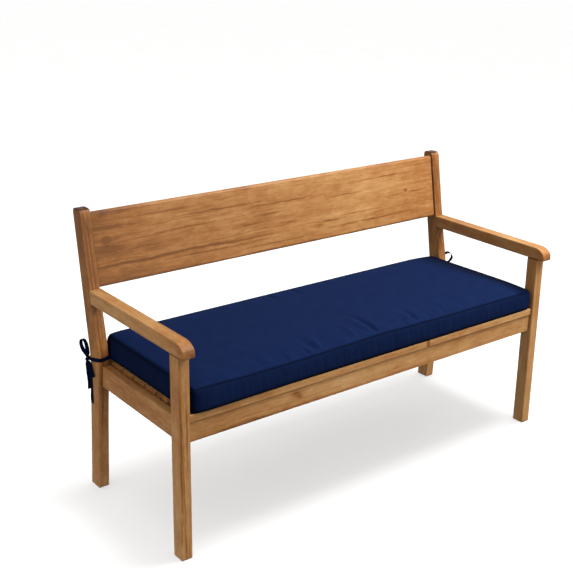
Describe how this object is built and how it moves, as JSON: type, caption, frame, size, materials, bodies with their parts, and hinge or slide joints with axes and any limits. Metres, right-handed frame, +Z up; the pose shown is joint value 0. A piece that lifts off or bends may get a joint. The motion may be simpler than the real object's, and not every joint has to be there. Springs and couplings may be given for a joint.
{
  "type": "bench cushion on a garden bench",
  "caption": "Long navy boxed seat cushion with a crowned top, held by flat tapes tied in bows round the back posts of a plain wooden garden bench with arms and a wide back board.",
  "frame": {"origin": "middle of the bench's box at floor level, measured without the ties", "axes": "+X along the bench, from the left end to the right end as seen from the front; +Y from the front legs to the back; +Z up"},
  "size_m": [1.5725, 0.6132, 0.9155],
  "materials": {
    "wood": "satin oiled hardwood",
    "navy_cloth": "matt woven polyester"
  },
  "bodies": {
    "root": {"front_leg_left": "wood", "front_leg_right": "wood", "back_post_left": "wood", "back_post_right": "wood", "arm_left": "wood", "arm_right": "wood", "side_rail_left": "wood", "side_rail_right": "wood", "seat_cleat_left": "wood", "seat_cleat_right": "wood", "front_apron": "wood", "seat_nosing": "wood", "seat_slat_1": "wood", "seat_slat_2": "wood", "seat_slat_3": "wood", "seat_slat_4": "wood", "seat_slat_5": "wood", "seat_slat_6": "wood", "middle_bearer": "wood", "back_rail": "wood", "backrest_board": "wood", "cushion": "navy_cloth", "tie_left_front_band": "navy_cloth", "tie_left_back_band": "navy_cloth", "tie_left_knot": "navy_cloth", "tie_left_loop_up": "navy_cloth", "tie_left_loop_down": "navy_cloth", "tie_left_tail_a": "navy_cloth", "tie_left_tail_b": "navy_cloth", "tie_right_front_band": "navy_cloth", "tie_right_back_band": "navy_cloth", "tie_right_knot": "navy_cloth", "tie_right_loop_up": "navy_cloth", "tie_right_loop_down": "navy_cloth", "tie_right_tail_a": "navy_cloth", "tie_right_tail_b": "navy_cloth"}
  },
  "joints": []
}
